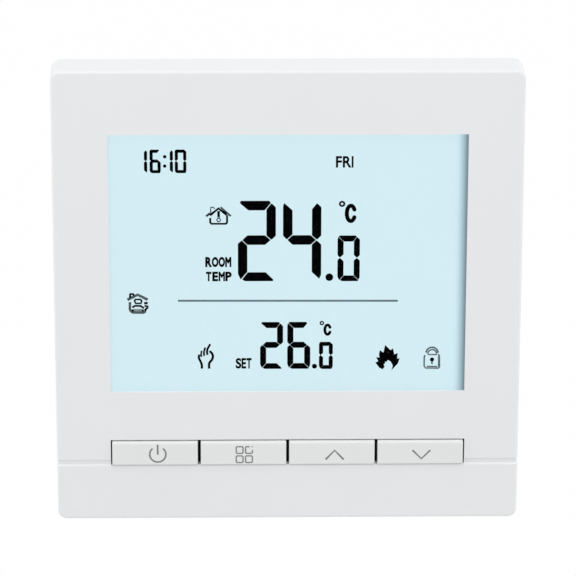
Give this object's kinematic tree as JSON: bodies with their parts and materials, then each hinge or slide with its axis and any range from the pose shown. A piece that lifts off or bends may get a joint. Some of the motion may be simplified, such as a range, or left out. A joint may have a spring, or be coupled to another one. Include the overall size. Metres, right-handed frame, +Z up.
{
  "type": "wall thermostat",
  "caption": "Square flush wall thermostat: white clip-on panel with a wide backlit display over a row of raised keys, on a steel plate with a relay box behind.",
  "frame": {"origin": "midpoint of the two wall-box screw slots, on the back face of the steel plate (the wall plane)", "axes": "+X to the right as seen from the room, +Y into the wall, +Z up; the display faces -Y"},
  "size_m": [0.086, 0.0338, 0.086],
  "materials": {
    "panel_white": "fine moulded satin",
    "key_grey": "satin moulded",
    "clear_lens": "clear, polished",
    "lcd_film": "pale blue, evenly backlit",
    "lcd_glass": "clear, polished",
    "light_guide": "clear, dotted behind",
    "reflector_white": "white film",
    "frame_black": "moulded",
    "display_ink": "dark display segments",
    "key_ink": "thin grey print",
    "rubber_black": "matt",
    "led_lens": "phosphor yellow",
    "switch_black": "moulded",
    "board_green": "solder lacquer",
    "screw_steel": "zinc plated",
    "chip_black": "moulded",
    "crystal_can": "drawn can",
    "cell_steel": "pressed cell case",
    "clip_steel": "nickel plated",
    "sensor_bead": "dipped lacquer",
    "resistor_ceramic": "fired",
    "header_black": "moulded",
    "pin_gold": "plated",
    "plate_steel": "zinc plated sheet",
    "insulation_film": "dark fibre sheet",
    "box_white": "moulded",
    "terminal_green": "moulded",
    "clamp_brass": "tin plated",
    "relay_black": "moulded case",
    "ferrite": "sintered",
    "coil_tape": "wound tape",
    "film_yellow": "moulded case",
    "capacitor_sleeve": "shrunk sleeve",
    "fuse_brown": "moulded case",
    "varistor_blue": "dipped lacquer"
  },
  "bodies": {
    "base": {"mounting_plate": "plate_steel", "insulation_sheet": "insulation_film", "box_screws": "screw_steel", "rear_box": "box_white", "power_board": "board_green", "power_board_screws": "screw_steel", "terminal_block": "terminal_green", "terminal_clamps": "clamp_brass", "terminal_screws": "screw_steel", "relay": "relay_black", "transformer_core": "ferrite", "transformer_coil": "coil_tape", "film_capacitor": "film_yellow", "smoothing_capacitors": "capacitor_sleeve", "fuse": "fuse_brown", "varistor": "varistor_blue", "link_socket": "header_black"},
    "front_panel": {"front_cover": "panel_white", "lower_trim": "panel_white", "display_lens": "clear_lens", "lcd_front_polariser": "lcd_film", "lcd_front_glass": "lcd_glass", "lcd_rear_glass": "lcd_glass", "lcd_rear_polariser": "lcd_film", "light_guide": "light_guide", "reflector_sheet": "reflector_white", "lcd_frame": "frame_black", "zebra_strip": "rubber_black", "backlight_leds": "led_lens", "key_seal": "rubber_black", "switch_bodies": "switch_black", "control_board": "board_green", "control_board_screws": "screw_steel", "microcontroller": "chip_black", "quartz_crystal": "crystal_can", "clock_cell": "cell_steel", "cell_clip": "clip_steel", "room_sensor": "sensor_bead", "chip_resistors": "resistor_ceramic", "link_header": "header_black", "link_pins": "pin_gold"},
    "power_button": {"power_key": "key_grey", "power_plunger": "switch_black"},
    "menu_button": {"menu_key": "key_grey", "menu_plunger": "switch_black"},
    "up_button": {"up_key": "key_grey", "up_plunger": "switch_black"},
    "down_button": {"down_key": "key_grey", "down_plunger": "switch_black"}
  },
  "joints": [
    {"name": "panel_pull", "type": "slide", "parent": "base", "child": "front_panel", "axis": [0, -1, 0], "range_m": [0, 0.03]},
    {"name": "power_press", "type": "slide", "parent": "front_panel", "child": "power_button", "axis": [0, 1, 0], "range_m": [0, 0.0004], "stiffness_N_per_m": 2500, "springref_m": -0.0002},
    {"name": "menu_press", "type": "slide", "parent": "front_panel", "child": "menu_button", "axis": [0, 1, 0], "range_m": [0, 0.0004], "stiffness_N_per_m": 2500, "springref_m": -0.0002},
    {"name": "up_press", "type": "slide", "parent": "front_panel", "child": "up_button", "axis": [0, 1, 0], "range_m": [0, 0.0004], "stiffness_N_per_m": 2500, "springref_m": -0.0002},
    {"name": "down_press", "type": "slide", "parent": "front_panel", "child": "down_button", "axis": [0, 1, 0], "range_m": [0, 0.0004], "stiffness_N_per_m": 2500, "springref_m": -0.0002}
  ]
}
